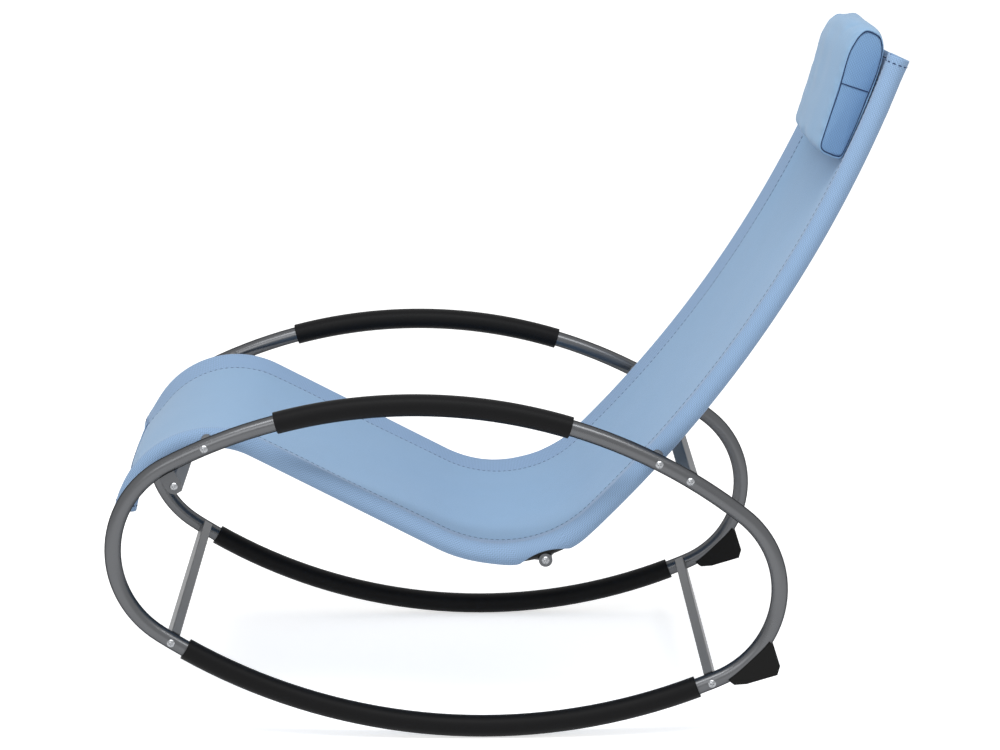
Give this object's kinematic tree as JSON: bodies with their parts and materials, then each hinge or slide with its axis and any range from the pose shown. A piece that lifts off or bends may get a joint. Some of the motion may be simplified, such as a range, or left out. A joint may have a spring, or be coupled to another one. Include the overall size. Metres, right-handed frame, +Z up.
{
  "type": "rocking chaise lounge",
  "caption": "Rocking chaise lounge: oval tube hoops as runners and arm rests, a fabric sling on bent side rails and a headrest pillow.",
  "frame": {"origin": "bottom centre of the overall box, on the floor under the middle of the length", "axes": "+X to the head end, +Y to the sitter's right, +Z up"},
  "size_m": [1.1986, 0.6464, 1.0617],
  "materials": {
    "frame_grey": "satin",
    "sleeve_black": "matte",
    "plastic_black": "satin",
    "rubber_black": "matte",
    "zinc": "satin",
    "sling_blue": "matte",
    "pillow_blue": "matte",
    "hook_loop": "matte"
  },
  "bodies": {
    "chair": {"arm_sleeve_left": "sleeve_black", "arm_sleeve_right": "sleeve_black", "back_rail_left": "frame_grey", "back_rail_right": "frame_grey", "back_tabs": "frame_grey", "crossbar_front_bottom": "frame_grey", "crossbar_front_top": "frame_grey", "crossbar_nuts": "zinc", "crossbar_rear_bottom": "frame_grey", "crossbar_rear_top": "frame_grey", "crossbar_screws": "zinc", "foot_spreader": "frame_grey", "front_lug_left": "frame_grey", "front_lug_right": "frame_grey", "head_spreader": "frame_grey", "hoop_front_left": "frame_grey", "hoop_front_right": "frame_grey", "hoop_rear_left": "frame_grey", "hoop_rear_right": "frame_grey", "joint_bosses": "frame_grey", "joint_nuts": "zinc", "joint_screws": "zinc", "joint_sleeve_left": "plastic_black", "joint_sleeve_right": "plastic_black", "loop_strips": "hook_loop", "lug_screws": "zinc", "rail_end_plugs": "plastic_black", "rail_inserts": "zinc", "rail_screws": "zinc", "rail_spacers": "plastic_black", "rocker_sleeve_left": "sleeve_black", "rocker_sleeve_right": "sleeve_black", "seat_rail_left": "frame_grey", "seat_rail_right": "frame_grey", "seat_tabs": "frame_grey", "sling": "sling_blue", "stopper_left": "rubber_black", "stopper_right": "rubber_black", "stopper_screws": "zinc"},
    "headrest": {"pillow": "pillow_blue", "hook_pads": "hook_loop"}
  },
  "joints": [
    {"name": "headrest_shift", "type": "hinge", "parent": "chair", "child": "headrest", "pos_m": [-1.17325, 0, 1.65424], "axis": [0, 1, 0], "range_deg": [0, 2.46]}
  ]
}
